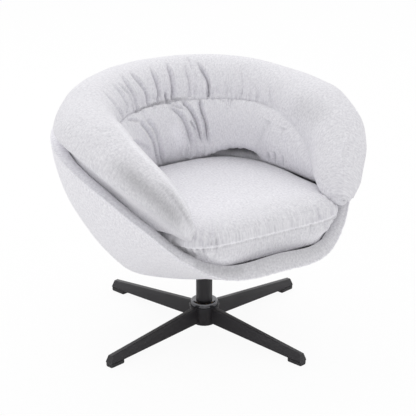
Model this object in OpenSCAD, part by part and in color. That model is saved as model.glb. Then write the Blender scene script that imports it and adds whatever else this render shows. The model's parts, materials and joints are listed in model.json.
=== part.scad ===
// Swivel tub chair: an upholstered shell with a back-and-arm roll and a loose seat cushion,
// turning on a column with a four-legged base. Millimetres, +Z up, the sitter faces -Y.
// The origin is on the floor, on the swivel axis.

/* [Base] */
// Distance from the column's axis to the middle of a foot
foot_reach = 340; // [300:5:380]
// Angle of the first leg from +X
leg_turn = 13.3; // [0:0.1:89]
// Height of a leg at the hub
leg_hub_h = 47; // [40:1:56]
// Height of a leg at its tip
leg_tip_h = 22; // [16:1:28]
// Width of a leg along its lower edge
leg_w = 24; // [20:1:28]
// Width of a leg along its upper edge
leg_top_w = 16; // [12:1:20]
// Radius of the edges of a leg
leg_edge_r = 3; // [1:0.5:5]
// Height of the underside of a leg at the hub
leg_hub_z = 21; // [18:1:26]
// How far the end of a leg slopes back
leg_end_slope = 7; // [2:1:12]
// Radius of the hub at the top
hub_top_r = 42; // [38:1:48]
// Radius of the hub at the bottom
hub_bottom_r = 34; // [31:1:38]
// Height of the hub
hub_h = 51; // [49:1:58]
// Height of the hub above the floor
hub_z = 15; // [12:1:18]
// Thickness of a glide
glide_h = 10; // [8:1:14]
// Length of a glide
glide_l = 46; // [36:1:60]
// Radius of the shank of a glide's screw
glide_screw_r = 2; // [1.5:0.1:2.5]
// Length of a glide's screw
glide_screw_l = 20; // [16:1:22]

/* [Column and bearing] */
// Outer radius of the column tube
tube_r = 22.5; // [21:0.5:26]
// Wall of the column tube
tube_wall = 3; // [2:0.5:4]
// Height of the top of the column tube
tube_top_z = 184; // [160:1:190]
// Outer radius of the polished collar
collar_r = 38; // [34:1:41]
// Height of the polished collar
collar_h = 16; // [10:1:20]
// Radius of the spindle
spindle_r = 14; // [12:0.5:15]
// Length of a bush
bush_l = 20; // [14:1:30]
// Thickness of the upper bush's flange
bush_flange_h = 3; // [2:0.5:4]
// Thickness of a race of the thrust bearing
race_h = 3; // [2.5:0.5:4]
// Radius of a ball
ball_r = 3; // [2.5:0.25:3.25]
// Number of balls
ball_count = 12; // [8:1:13]
// Wall of the bearing cover
cover_wall = 1.5; // [1:0.5:2]

/* [Seat carrier] */
// Width of the square seat plate
plate_w = 200; // [180:5:220]
// Thickness of the seat plate
plate_t = 4; // [3:0.5:6]
// Distance from the middle of a bolt to the edges of the seat plate
bolt_edge = 20; // [17:1:28]
// Radius of a bolt's shank
bolt_r = 4; // [3:0.5:5]
// Thickness of the plywood deck
deck_t = 18; // [15:1:21]
// Height of the foam on the deck
foam_h = 48.9; // [42:0.1:50]

/* [Shell] */
// Width of the shell
shell_w = 798; // [760:1:805]
// Reach of the shell in front of the axis
shell_front = 378; // [360:1:390]
// Reach of the shell behind the axis
shell_back = 378; // [355:0.5:385]
// Height of the underside of the shell
shell_z = 232; // [226:1:240]
// Height of the rim at the front
rim_front_z = 300; // [285:1:310]
// Height of the rim at the back
rim_back_z = 600; // [570:1:615]
// Width of the foot of the shell
foot_w = 500; // [480:1:515]
// Reach of the foot of the shell in front of the axis
foot_front = 207; // [200:1:215]
// Reach of the foot of the shell behind the axis
foot_back = 232; // [224:1:240]
// Thickness of the padded wall, measured level
wall = 42; // [38:1:48]
// Width of the rim at the front
rim_front_w = 30; // [24:1:34]
// Width of the rim at the sides and the back
rim_w = 38; // [32:1:40]
// Thickness of the outer padding
outer_pad = 14; // [11:0.5:16]
// Thickness of the moulded bucket, measured level
bucket_t = 8; // [5:0.5:10]
// Thickness of the bucket's floor
bucket_floor_t = 6; // [4:0.5:8]
// Radius of the opening in the bucket's floor
bucket_hole_r = 148; // [140:1:152]

/* [Back and arm roll] */
// Width between the axes of the arms
roll_span = 634; // [610:1:640]
// Distance from the column's axis to the roll's axis at the back
roll_back = 290; // [280:1:296]
// Height of the roll's axis at the back
roll_z = 611; // [600:1:620]
// Width of the roll at the back
roll_w = 168; // [150:1:176]
// Height of the roll at the back
roll_h = 178; // [160:1:184]
// Width of the lumbar swell at the back
lumbar_w = 144; // [130:1:156]
// Height of the lumbar swell at the back
lumbar_h = 180; // [160:1:190]
// Height of the arm tips
tip_z = 417; // [405:1:420]
// Half the width between the arm tips
tip_x = 236; // [228:1:245]
// Distance of the arm tips in front of the axis
tip_y = 312; // [300:1:320]

/* [Seat cushion] */
// Width of the seat cushion
cushion_w = 524; // [490:1:530]
// Length of the seat cushion
cushion_l = 515; // [490:1:520]
// Distance of the cushion's middle in front of the axis
cushion_mid = 65; // [60:1:70]
// Height of the cushion's boxing
boxing_h = 60; // [50:1:66]
// Height of the crown above the seam
crown_h = 50; // [42:1:58]
// How far the boxing bulges
boxing_bulge = 5; // [2:1:8]

/* [Clearances] */
// Gap between a soft piece and what it lies against
soft_gap = 1.2; // [0.8:0.1:2]
// Gap round a piece that is seated
seat_gap = 0.3; // [0.2:0.05:0.5]
// Radial clearance of a turning or pressed fit
fit_gap = 0.05; // [0.02:0.01:0.09]

/* [Hidden] */

// Overrun of a cut past the face it opens
cut = 1;
// Facets of true round pieces, and of the small rounds inside a hull
round_fn = 96;
hull_fn = 32;
// Number of legs
legs = 4;

// Shape of the plan curves: 2 is an ellipse, more is squarer
rim_front_power = 2.05;
rim_back_power = 2.3;
foot_power = 1.9;
roll_power = 2;
// Height of the rim as a share of its rise, at angles from the front
rim_rise_shares = [[0, 0], [24, 0], [40, 0.167], [55, 0.42], [75, 0.667], [100, 0.8],
    [140, 0.927], [180, 1]];
// Curve of the wall, in front and at the back
wall_front_bend = 1;
wall_back_bend = 1.65;
wall_front_swell = 1;
wall_back_swell = 0.87;
// Angles from the front over which the wall and the rim change
wall_turn = 110;
rim_turn = 70;
// How far the rim's inner edge is above its fold, in front, and below it behind
rim_tilt = 38;
rim_dip = 4;
rim_crown = 6;

// Roll: place along the half, then outward shift and half width as shares of the roll's half width,
// drop of the axis as a share of the fall to the tip, and half height as a share of half the height
roll_shares = [[0, 0, 0, 1, 1], [0.25, -0.05, 0.02, 0.97, 1], [0.38, 0.04, 0.08, 1.04, 0.99],
    [0.5, 0.18, 0.16, 1.1, 1.02], [0.62, 0.28, 0.26, 1.1, 1.1], [0.75, 0.2, 0.42, 1.03, 1.03],
    [0.85, 0.02, 0.58, 0.95, 0.82], [0.93, -0.12, 0.75, 0.78, 0.56], [0.97, -0.12, 0.86, 0.62, 0.42],
    [1, 0, 1, 0.2, 0.16]];
// Lumbar swell and the underside of the arms, in the same order, drop measured from the roll's axis
lumbar_shares = [[0, -0.8, 0.56, 1, 1.14], [0.12, -0.78, 0.55, 1, 1.13], [0.25, -0.74, 0.52, 1, 1.07],
    [0.4, -0.64, 0.53, 1.04, 1.08], [0.5, -0.55, 0.555, 1.04, 1.03], [0.62, -0.38, 0.63, 0.94, 0.88],
    [0.75, -0.22, 0.715, 0.88, 0.66], [0.85, -0.06, 0.79, 0.74, 0.47], [0.93, 0, 0.86, 0.42, 0.3],
    [1, 0, 1, 0.04, 0.04]];
arm_power = 3.2;
roll_stations = 55;
roll_points = 22;
// How steeply the roll's outer side may lean out over the rim
roll_lean = 1.22;
// Height over the rim at which it leans out half as steeply
roll_heel = 40;
// Distance from the lining within which the arms are pressed in over the cushion
arm_press = 30;
// Shares of half the roll at which its underside is measured against the cushion
arm_shares = [for (i = [0:144]) i / 144];

// Plan of the cushion, and how its crown falls away
cushion_front_power = 5.5;
cushion_back_power = 3.4;
crown_power = 13;
crown_round = 0.42;
// How steeply the cushion may bulge out over the rim, and the height at which it does so half as steeply
cushion_lean = 1.3;
cushion_heel = 10;
// Share of the cushion's length in front of the middle of its outline
cushion_front_share = 0.53;
cushion_rings = [0, 0.25, 0.5, 0.7, 0.82, 0.9, 0.95, 0.985];
boxing_rings = [0, 0.25, 0.5, 0.75, 1];
cushion_tuck = 4;
cushion_angles = 68;

shell_angles = 40;
// Levels of the rings, as shares of the height between the ends of a stretch of wall
shell_shares = [0, 0.05, 0.13, 0.25, 0.4, 0.58, 0.76, 0.9, 1];
lining_shares = [0.14, 0.4, 0.72];
foam_shares = [0, 0.55, 1];
slot_shares = [0, 0.1, 0.3, 0.6, 1];
// Height of the bucket as a share of the shell's
bucket_share = 0.86;

leg_tip_r = foot_reach + glide_l / 2;
hub_top_z = hub_z + hub_h;
tube_bore_r = tube_r - tube_wall;
tube_z = hub_z + tube_wall;
race_top_z = tube_top_z + bush_flange_h + race_h;
groove_d = ball_r * 0.4;
groove_r = ball_r + fit_gap;
ball_mid_z = race_top_z + ball_r - groove_d + fit_gap;
upper_race_z = 2 * ball_mid_z - race_top_z;
socket_z = upper_race_z + race_h;
race_bore_r = spindle_r + seat_gap;
race_r = tube_r - seat_gap;
ball_pitch_r = (race_bore_r + race_r) / 2;
deck_z = shell_z;
plate_z = deck_z - plate_t;
deck_top_z = deck_z + deck_t;
washer_h = bolt_r * 0.4;
nut_r = bolt_r * 1.35;
nut_flange_h = bolt_r * 0.375;
nut_flange_r = bolt_r * 2.5;
bolt_pitch = plate_w - 2 * bolt_edge;
bucket_z = deck_top_z + seat_gap;
lining_z = bucket_z + bucket_floor_t + seat_gap;
lining_floor_z = lining_z + bucket_floor_t;
foam_top_z = deck_top_z + seat_gap + foam_h;
bucket_out = outer_pad + seat_gap;
bucket_in = bucket_out + bucket_t;
lining_out = bucket_in + seat_gap;
cushion_z = foam_top_z + seat_gap;
// Gaps of the cushion to the lining and to the arms
cushion_gap = 4 * soft_gap;
arm_gap = 6 * soft_gap;
cushion_tuck_h = boxing_h * 0.4;
seam_z = cushion_z + cushion_tuck_h + boxing_h;
cushion_cy = -cushion_mid + (cushion_front_share - 0.5) * cushion_l;

steel_black = [0.10, 0.10, 0.11];
steel_bright = [0.75, 0.75, 0.77];
plastic_black = [0.06, 0.06, 0.06];
plastic_white = [0.85, 0.85, 0.82];
ply = [0.76, 0.60, 0.42];
cloth = [0.86, 0.86, 0.89];
cloth_shade = [0.78, 0.78, 0.82];
foam = [0.93, 0.88, 0.70];

// Shared curves
function mix(a, b, t) = a + (b - a) * t;
function smooth(t) = let (u = min(max(t, 0), 1)) u * u * (3 - 2 * u);
function plan_r(a, w, d, power) =
    pow(pow(abs(sin(a)) / w, power) + pow(abs(cos(a)) / d, power), -1 / power);
function from_front(a) = let (b = (a % 360 + 360) % 360) b > 180 ? 360 - b : b;
function slope(rows, col, k) = k == 0 || k == len(rows) - 1 ? 0
    : (rows[k + 1][col] - rows[k - 1][col]) / (rows[k + 1][0] - rows[k - 1][0]);
// Smooth value of one column of a table of rows at x
function read(rows, col, x) = let (
    k = max([0, for (i = [0:len(rows) - 2]) if (rows[i][0] <= x) i]),
    step = rows[k + 1][0] - rows[k][0],
    u = min(max((x - rows[k][0]) / step, 0), 1))
    (2 * pow(u, 3) - 3 * pow(u, 2) + 1) * rows[k][col]
    + (pow(u, 3) - 2 * pow(u, 2) + u) * slope(rows, col, k) * step
    + (3 * pow(u, 2) - 2 * pow(u, 3)) * rows[k + 1][col]
    + (pow(u, 3) - pow(u, 2)) * slope(rows, col, k + 1) * step;
// A point at an angle from the front, a radius and a height
function around(a, r, z) = [r * sin(a), -r * cos(a), z];

// Shell: outer wall, rim and inner wall
function rim_r(a) = cos(a) > 0 ? plan_r(a, shell_w / 2, shell_front, rim_front_power)
    : plan_r(a, shell_w / 2, shell_back, rim_back_power);
function rim_z(a) = mix(rim_front_z, rim_back_z, read(rim_rise_shares, 1, from_front(a)));
function foot_r(a) = plan_r(a, foot_w / 2, cos(a) > 0 ? foot_front : foot_back, foot_power);
function bend(a, t) = let (k = smooth(from_front(a) / wall_turn))
    t >= 1 ? 1 : pow(1 - pow(1 - t, mix(wall_front_bend, wall_back_bend, k)),
        mix(wall_front_swell, wall_back_swell, k));
function outer_r(a, z) = let (t = min(max((z - shell_z) / (rim_z(a) - shell_z), 0), 1))
    mix(foot_r(a), rim_r(a), bend(a, t));
function band_w(a) = mix(rim_front_w, rim_w, smooth(from_front(a) / rim_turn));
function band_z(a) = rim_z(a) + mix(rim_tilt, -rim_dip, smooth(from_front(a) / rim_turn));
function inner_r(a, z) = outer_r(a, z)
    - mix(band_w(a), wall, smooth((band_z(a) - z) / (rim_w * 0.8)));

// The lining as it is faceted between its rings
function lining_levels(a) = concat([band_z(a)], [for (t = lining_shares) mix(band_z(a), foam_top_z, t)],
    [for (t = foam_shares) mix(foam_top_z, lining_floor_z, t)]);
function lining_r(a, z) = lookup(z, [for (level = lining_levels(a)) [level, inner_r(a, level)]]);

// Roll: half the axis runs from the back, place 0, round the side, place 0.5, to the arm's tip, place 1
function roll_axis(t) = t <= 0.5
    ? [roll_span / 2 * pow(max(sin(t * 180), 0), 2 / roll_power),
        roll_back * pow(max(cos(t * 180), 0), 2 / roll_power)]
    : let (u = 2 * t - 1) [roll_span / 2 - (roll_span / 2 - tip_x) * pow(u, arm_power), -tip_y * u];
function roll_out(t) = let (
    step = 0.001,
    d = roll_axis(min(t + step, 1)) - roll_axis(max(t - step, 0)))
    [-d[1], d[0]] / norm(d);
// An oval of the section: middle (outward, up) and half axes
function roll_oval(t) = let (fall = roll_z - tip_z) [
    [read(roll_shares, 1, t) * roll_w / 2, roll_z - read(roll_shares, 2, t) * fall],
    [read(roll_shares, 3, t) * roll_w / 2, read(roll_shares, 4, t) * roll_h / 2]];
function lumbar_oval(t) = let (fall = roll_z - tip_z) [
    [read(lumbar_shares, 1, t) * lumbar_w / 2, roll_z - read(lumbar_shares, 2, t) * fall],
    [read(lumbar_shares, 3, t) * lumbar_w / 2, read(lumbar_shares, 4, t) * lumbar_h / 2]];
// How far a ray from a point reaches before it leaves an oval for good
function reach(oval, from, dir) = let (
    p = [(from[0] - oval[0][0]) / oval[1][0], (from[1] - oval[0][1]) / oval[1][1]],
    d = [dir[0] / oval[1][0], dir[1] / oval[1][1]],
    a = d * d, b = 2 * (p * d), c = p * p - 1, q = b * b - 4 * a * c)
    q < 0 ? -1 : (-b + sqrt(q)) / (2 * a);
// Section point k of roll_points; point 0 lies in the crease between the two ovals
function roll_section(t, k) = let (
    up = roll_oval(t), low = lumbar_oval(t),
    gap = up[0] - low[0],
    r_up = (up[1][0] + up[1][1]) / 2, r_low = (low[1][0] + low[1][1]) / 2,
    share = (gap * gap + r_up * r_up - r_low * r_low) / (2 * gap * gap),
    from = up[0] - gap * min(max(share, 0), 0.6),
    v = atan2(gap[1], gap[0]) + 90 + k * 360 / roll_points,
    dir = [cos(v), sin(v)])
    from + dir * max(reach(up, from, dir), reach(low, from, dir));
// The roll is pressed against the shell's inner wall and leans out above the rim
function roll_point(t, k) = let (
    s = roll_section(abs(t), k),
    p = roll_axis(abs(t)) + roll_out(abs(t)) * s[0],
    a = atan2(p[0], -p[1]), over = s[1] - band_z(a),
    limit = over < 0 ? lining_r(a, s[1])
        : rim_r(a) - band_w(a) + roll_lean * over * over / (over + roll_heel),
    q = around(a, min(norm(p), limit - 2 * soft_gap), s[1]))
    [t < 0 ? -q[0] : q[0], q[1], q[2]];
// Stations stand closer together towards the tips
function roll_place(i) = let (s = 2 * i / (roll_stations - 1) - 1)
    sign(s) * mix(abs(s), sin(90 * abs(s)), 0.6);

// Cushion: outline, crown and boxing
function cushion_r(a) = cos(a) > 0
    ? plan_r(a, cushion_w / 2, cushion_l * cushion_front_share, cushion_front_power)
    : plan_r(a, cushion_w / 2, cushion_l * (1 - cushion_front_share), cushion_back_power);
// Height of the arm's underside over a point, or a height that it doesn't reach
function oval_floor(oval, n) = let (u = (n - oval[0][0]) / (oval[1][0] + arm_gap))
    abs(u) < 1 ? oval[0][1] - oval[1][1] * sqrt(1 - u * u) : roll_z + roll_h;
function arm_floor(q) = let (
    p = [abs(q[0]), q[1]],
    room = lining_r(atan2(q[0], -q[1]), q[2]) - norm(p),
    far = [for (t = arm_shares) norm(p - roll_axis(t))],
    t = arm_shares[search(min(far), far)[0]],
    n = (p - roll_axis(t)) * roll_out(t) + arm_press * smooth(1 - room / arm_press))
    min(oval_floor(roll_oval(t), n), oval_floor(lumbar_oval(t), n));
// A point of the cushion, held inside the lining up to the rim
function cushion_at(a, r, z) = let (
    p = [r * sin(a), cushion_cy - r * cos(a)],
    b = atan2(p[0], -p[1]), over = max(z - band_z(b), 0),
    limit = lining_r(b, z) + cushion_lean * over * over / (over + cushion_heel))
    around(b, min(norm(p), limit - cushion_gap), z);
function crown_point(a, share) = let (
    rise = crown_h * pow(1 - pow(share, crown_power), crown_round),
    q = cushion_at(a, cushion_r(a) * share, seam_z + rise))
    [q[0], q[1], min(q[2], arm_floor(q) - arm_gap)];
function boxing_point(a, share) = cushion_at(a,
    cushion_r(a) - cushion_tuck * share + boxing_bulge * sin(180 * share), seam_z - boxing_h * share);

// Triangles between rows of points; the rows, or the points of a row, may close on themselves
function strip(rows, points, i, j, across = false) = let (
    a = i * points + j, b = i * points + (j + 1) % points,
    c = (i + 1) % rows * points + (j + 1) % points, d = (i + 1) % rows * points + j)
    across ? [[a, b, d], [b, c, d]] : [[a, b, c], [a, c, d]];
// A closed ring of rings; across splits its faces the other way, to follow a wall that runs the other way
module loop_of_rings(rings, across = false) {
    points = len(rings[0]);
    polyhedron([for (ring = rings) each ring],
        [for (i = [0:len(rings) - 1]) for (j = [0:points - 1])
            each strip(len(rings), points, i, j, across)]);
}
// Rings closed by a point at either end; the faces of the first ones, up to turned, are split the other way
module capped_rings(rings, first, last, turned = 0) {
    points = len(rings[0]);
    count = len(rings) * points;
    polyhedron([each [for (ring = rings) each ring], first, last],
        [for (i = [0:len(rings) - 2]) for (j = [0:points - 1])
                each strip(len(rings), points, i, j, i < turned),
            for (j = [0:points - 1]) [j, count, (j + 1) % points],
            for (j = [0:points - 1])
                [count - points + (j + 1) % points, count + 1, count - points + j]]);
}
module tube(outer, inner, h) {
    difference() {
        cylinder(r = outer, h = h, $fn = round_fn);
        translate([0, 0, -cut]) cylinder(r = inner, h = h + 2 * cut, $fn = round_fn);
    }
}
module each_bolt() {
    for (x = [-1, 1], y = [-1, 1]) translate([x * bolt_pitch / 2, y * bolt_pitch / 2, 0]) children();
}

// Base
module base_hub() {
    color(steel_black) difference() {
        translate([0, 0, hub_z]) cylinder(r1 = hub_bottom_r, r2 = hub_top_r, h = hub_h, $fn = round_fn);
        translate([0, 0, hub_z - cut]) cylinder(r = tube_r + fit_gap, h = hub_h + 2 * cut, $fn = round_fn);
    }
}
// Upright slice of a leg, rounded at its four corners
module leg_slice(h) {
    rotate([90, 0, 90]) linear_extrude(leg_edge_r / 2)
        for (side = [-1, 1]) {
            translate([side * (leg_w / 2 - leg_edge_r), leg_edge_r])
                circle(r = leg_edge_r, $fn = hull_fn);
            translate([side * (leg_top_w / 2 - leg_edge_r), h - leg_edge_r])
                circle(r = leg_edge_r, $fn = hull_fn);
        }
}
module leg_blank() {
    knee_r = leg_tip_r - glide_l;
    fall_share = (knee_r - tube_r) / (leg_tip_r - leg_end_slope - tube_r);
    hull() {
        translate([tube_r, 0, leg_hub_z]) leg_slice(leg_hub_h);
        translate([knee_r, 0, glide_h])
            leg_slice(mix(leg_hub_h + leg_hub_z, leg_tip_h + glide_h, fall_share) - glide_h);
        translate([leg_tip_r - leg_edge_r / 2, 0, glide_h]) leg_slice(2 * leg_edge_r);
        translate([leg_tip_r - leg_end_slope, 0, glide_h]) leg_slice(leg_tip_h);
    }
}
module leg(i) {
    color(steel_black) rotate([0, 0, leg_turn + i * 360 / legs]) difference() {
        leg_blank();
        translate([0, 0, hub_z])
            cylinder(r1 = hub_bottom_r + seat_gap, r2 = hub_top_r + seat_gap, h = hub_h, $fn = round_fn);
        translate([0, 0, hub_top_z - cut]) cylinder(r = hub_top_r + seat_gap, h = leg_hub_h, $fn = round_fn);
        translate([foot_reach, 0, glide_h - cut])
            cylinder(r = glide_screw_r + fit_gap, h = glide_screw_l - glide_h / 2 + cut, $fn = round_fn);
    }
}
module glide(i) {
    pad_r = leg_edge_r;
    sole_w = leg_w - leg_edge_r;
    color(plastic_black) rotate([0, 0, leg_turn + i * 360 / legs]) difference() {
        translate([foot_reach, 0, 0]) hull() {
            for (x = [-1, 1], y = [-1, 1]) {
                translate([x * (glide_l / 2 - pad_r), y * (leg_w / 2 - pad_r), glide_h / 3])
                    cylinder(r = pad_r, h = glide_h * 2 / 3, $fn = hull_fn);
                translate([x * (glide_l / 2 - pad_r), y * (sole_w / 2 - pad_r), 0])
                    cylinder(r = pad_r, h = glide_h / 3, $fn = hull_fn);
            }
        }
        translate([foot_reach, 0, -cut])
            cylinder(r = glide_screw_r + fit_gap, h = glide_h + 2 * cut, $fn = round_fn);
        translate([foot_reach, 0, -cut])
            cylinder(r = 2 * glide_screw_r + fit_gap, h = glide_h / 3 + cut, $fn = round_fn);
    }
}
module glide_screws() {
    color(steel_bright) for (i = [0:legs - 1]) rotate([0, 0, leg_turn + i * 360 / legs])
        translate([foot_reach, 0, glide_h / 3]) {
            translate([0, 0, -glide_screw_r])
                cylinder(r = 2 * glide_screw_r, h = glide_screw_r, $fn = round_fn);
            cylinder(r = glide_screw_r, h = glide_screw_l - glide_h / 2, $fn = round_fn);
        }
}
module hub_bottom_cap() {
    lip = hub_bottom_r - tube_wall;
    color(plastic_black) translate([0, 0, hub_z - tube_wall]) {
        cylinder(r = lip, h = tube_wall, $fn = round_fn);
        cylinder(r = tube_bore_r - fit_gap, h = 4 * tube_wall, $fn = round_fn);
    }
}
module column_tube() {
    color(steel_black) translate([0, 0, tube_z]) tube(tube_r, tube_bore_r, tube_top_z - tube_z);
}
module polished_collar() {
    edge_r = collar_h * 0.45;
    color(steel_bright) translate([0, 0, hub_top_z]) rotate_extrude($fn = round_fn) difference() {
        union() {
            square([collar_r, collar_h - edge_r]);
            square([collar_r - edge_r, collar_h]);
            translate([collar_r - edge_r, collar_h - edge_r]) circle(r = edge_r, $fn = round_fn);
        }
        translate([0, -cut]) square([tube_r + seat_gap, collar_h + 2 * cut]);
    }
}
module bush_body(h) {
    tube(tube_bore_r - fit_gap, spindle_r + fit_gap, h);
}
retainer_z = tube_z + bush_l;
module lower_bush() {
    color(plastic_white) translate([0, 0, retainer_z + 2 * race_h]) bush_body(bush_l);
}
module upper_bush() {
    color(plastic_white) {
        translate([0, 0, tube_top_z - bush_l]) bush_body(bush_l);
        translate([0, 0, tube_top_z]) tube(race_r, spindle_r + fit_gap, bush_flange_h);
    }
}
module groove(z) {
    translate([0, 0, z]) rotate_extrude($fn = round_fn) translate([ball_pitch_r, 0])
        circle(r = groove_r, $fn = hull_fn);
}
module lower_race() {
    color(steel_bright) difference() {
        translate([0, 0, race_top_z - race_h]) tube(race_r, race_bore_r, race_h);
        groove(ball_mid_z);
    }
}
module upper_race() {
    color(steel_bright) difference() {
        translate([0, 0, upper_race_z]) tube(race_r, race_bore_r, race_h);
        groove(ball_mid_z);
    }
}
module each_ball() {
    for (i = [0:ball_count - 1]) rotate([0, 0, i * 360 / ball_count])
        translate([ball_pitch_r, 0, ball_mid_z]) children();
}
module ball_cage() {
    cage_h = ball_r;
    color(plastic_white) difference() {
        translate([0, 0, ball_mid_z - cage_h / 2])
            tube(race_r - seat_gap, race_bore_r + seat_gap, cage_h);
        each_ball() translate([0, 0, -cage_h]) cylinder(r = ball_r + fit_gap, h = 2 * cage_h, $fn = hull_fn);
    }
}
module bearing_balls() {
    color(steel_bright) each_ball() sphere(r = ball_r, $fn = hull_fn);
}
module bearing_cover() {
    reach_down = 2 * race_h;
    color(plastic_black) translate([0, 0, tube_top_z - reach_down])
        tube(tube_r + seat_gap + cover_wall, tube_r + seat_gap, socket_z - tube_top_z + 2 * reach_down);
}

// Seat carrier
spindle_z = retainer_z - race_h;
module spindle() {
    color(steel_bright) difference() {
        translate([0, 0, spindle_z]) cylinder(r = spindle_r, h = plate_z - spindle_z, $fn = round_fn);
        translate([0, 0, retainer_z]) tube(2 * spindle_r, spindle_r - cover_wall, race_h / 2 + fit_gap);
        pin_along_x(fit_gap, 4 * spindle_r);
    }
}
module retaining_clip() {
    color(steel_bright) translate([0, 0, retainer_z])
        tube(spindle_r + race_h, spindle_r - cover_wall + fit_gap, race_h / 2);
}
module retaining_washer() {
    color(steel_bright) translate([0, 0, retainer_z + race_h / 2 + seat_gap])
        tube(tube_bore_r - seat_gap, spindle_r + fit_gap, race_h);
}
module pin_along_x(gap, l) {
    translate([0, 0, (socket_z + plate_z) / 2]) rotate([0, 90, 0])
        cylinder(r = spindle_r / 4 + gap, h = l, center = true, $fn = round_fn);
}
module spindle_socket() {
    color(steel_black) difference() {
        translate([0, 0, socket_z]) tube(tube_r, spindle_r + fit_gap, plate_z - socket_z);
        pin_along_x(fit_gap, 4 * tube_r);
    }
}
module spindle_pin() {
    color(steel_bright) pin_along_x(0, 2 * tube_r);
}
module seat_plate() {
    corner_r = plate_w / 12;
    color(steel_black) translate([0, 0, plate_z]) difference() {
        union() {
            translate([-plate_w / 2, corner_r - plate_w / 2, 0])
                cube([plate_w, plate_w - 2 * corner_r, plate_t]);
            translate([corner_r - plate_w / 2, -plate_w / 2, 0])
                cube([plate_w - 2 * corner_r, plate_w, plate_t]);
            for (x = [-1, 1], y = [-1, 1])
                translate([x * (plate_w / 2 - corner_r), y * (plate_w / 2 - corner_r), 0])
                    cylinder(r = corner_r, h = plate_t, $fn = round_fn);
        }
        each_bolt() translate([0, 0, -cut])
            cylinder(r = bolt_r + seat_gap, h = plate_t + 2 * cut, $fn = round_fn);
    }
}
module plate_bolts() {
    head_h = bolt_r * 1.3;
    color(steel_bright) each_bolt() {
        translate([0, 0, plate_z - washer_h - head_h]) cylinder(r = bolt_r * 1.85, h = head_h, $fn = 6);
        translate([0, 0, plate_z - washer_h])
            cylinder(r = bolt_r, h = deck_top_z - plate_z + washer_h, $fn = round_fn);
    }
}
module plate_washers() {
    color(steel_bright) each_bolt() translate([0, 0, plate_z - washer_h])
        tube(bolt_r * 2.1, bolt_r + seat_gap, washer_h);
}
module tee_nuts() {
    color(steel_bright) each_bolt() {
        translate([0, 0, deck_top_z - nut_flange_h]) tube(nut_flange_r, bolt_r + fit_gap, nut_flange_h);
        translate([0, 0, deck_top_z - deck_t / 2]) tube(nut_r, bolt_r + fit_gap, deck_t / 2);
    }
}
module deck_outline(inset) {
    polygon([for (i = [0:shell_angles - 1]) let (a = i * 360 / shell_angles, r = foot_r(a) - inset)
        [r * sin(a), -r * cos(a)]]);
}
module seat_deck() {
    color(ply) difference() {
        translate([0, 0, deck_z]) linear_extrude(deck_t) deck_outline(bucket_out);
        each_bolt() {
            translate([0, 0, deck_z - cut]) cylinder(r = bolt_r + seat_gap, h = deck_t + 2 * cut,
                $fn = round_fn);
            translate([0, 0, deck_top_z - deck_t / 2]) cylinder(r = nut_r + fit_gap, h = deck_t,
                $fn = round_fn);
            translate([0, 0, deck_top_z - nut_flange_h]) cylinder(r = nut_flange_r + fit_gap, h = deck_t,
                $fn = round_fn);
        }
        each_deck_screw() deck_screw(fit_gap, cut);
    }
}
deck_screw_count = 8;
deck_screw_r = bolt_r * 0.5;
deck_screw_head_h = bucket_floor_t / 3;
deck_screw_l = bucket_floor_t + deck_t * 0.8;
// Places of the screws that hold the bucket on the deck, with Z on the bucket's floor
module each_deck_screw() {
    for (i = [0:deck_screw_count - 1]) let (a = (i + 0.5) * 360 / deck_screw_count)
        translate(around(a, hem_r(a) - 4 * deck_screw_r, bucket_z + bucket_floor_t)) children();
}
// One screw, or with a gap and an overrun the hole for it
module deck_screw(gap, over) {
    translate([0, 0, -deck_screw_head_h]) cylinder(r = 2 * deck_screw_r + gap, h = deck_screw_head_h + over,
        $fn = round_fn);
    translate([0, 0, -deck_screw_l]) cylinder(r = deck_screw_r + gap, h = deck_screw_l, $fn = round_fn);
}
module deck_screws() {
    color(steel_bright) each_deck_screw() deck_screw(0, 0);
}

// Shell
function wall_at(a, levels, inset) = [for (z = levels) around(a, outer_r(a, z) - inset, z)];
function slot_top(a) = mix(shell_z, rim_z(a), bucket_share);
function slot_levels(a, top_z) =
    concat([for (t = slot_shares) if (t < 1) mix(lining_z, slot_top(a), t)], [top_z]);
function flip(list) = [for (i = [len(list) - 1:-1:0]) list[i]];
// Edge of the lining where it ends on the bucket's floor
function hem_r(a) = foot_r(a) - lining_out - outer_pad;
// Section of the shell at an angle: out and up, over the rim, down the lining, and round the bucket's slot
function shell_ring(a) = let (levels = slot_levels(a, slot_top(a)))
    concat(wall_at(a, [for (t = shell_shares) mix(shell_z, rim_z(a), t)], 0),
        [around(a, rim_r(a) - band_w(a) / 2, mix(rim_z(a), band_z(a), 0.5) + rim_crown)],
        [for (z = lining_levels(a)) around(a, inner_r(a, z), z)],
        [around(a, hem_r(a), lining_floor_z), around(a, hem_r(a), lining_z)],
        wall_at(a, levels, lining_out),
        wall_at(a, concat(flip(levels), [bucket_z, shell_z]), outer_pad));
module upholstered_shell() {
    color(cloth) loop_of_rings([for (i = [0:shell_angles - 1]) shell_ring(i * 360 / shell_angles)]);
}
function bucket_ring(a) = let (
    levels = slot_levels(a, slot_top(a) - 2 * seat_gap),
    floor_z = bucket_z + bucket_floor_t)
    concat(wall_at(a, concat([bucket_z], levels), bucket_out),
        wall_at(a, [for (z = flip(levels)) max(z, floor_z)], bucket_in),
        [around(a, outer_r(a, floor_z) - bucket_in, floor_z), around(a, bucket_hole_r, floor_z),
            around(a, bucket_hole_r, bucket_z)]);
module shell_bucket() {
    color(ply) difference() {
        loop_of_rings([for (i = [0:shell_angles - 1]) bucket_ring(i * 360 / shell_angles)], true);
        each_deck_screw() deck_screw(fit_gap, cut);
    }
}
cover_t = 0.8;
module dust_cover() {
    color(plastic_black) translate([0, 0, shell_z - cover_t]) linear_extrude(cover_t) difference() {
        deck_outline(outer_pad / 2);
        circle(r = plate_w * 0.72, $fn = round_fn);
    }
}
staple_count = 24;
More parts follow.
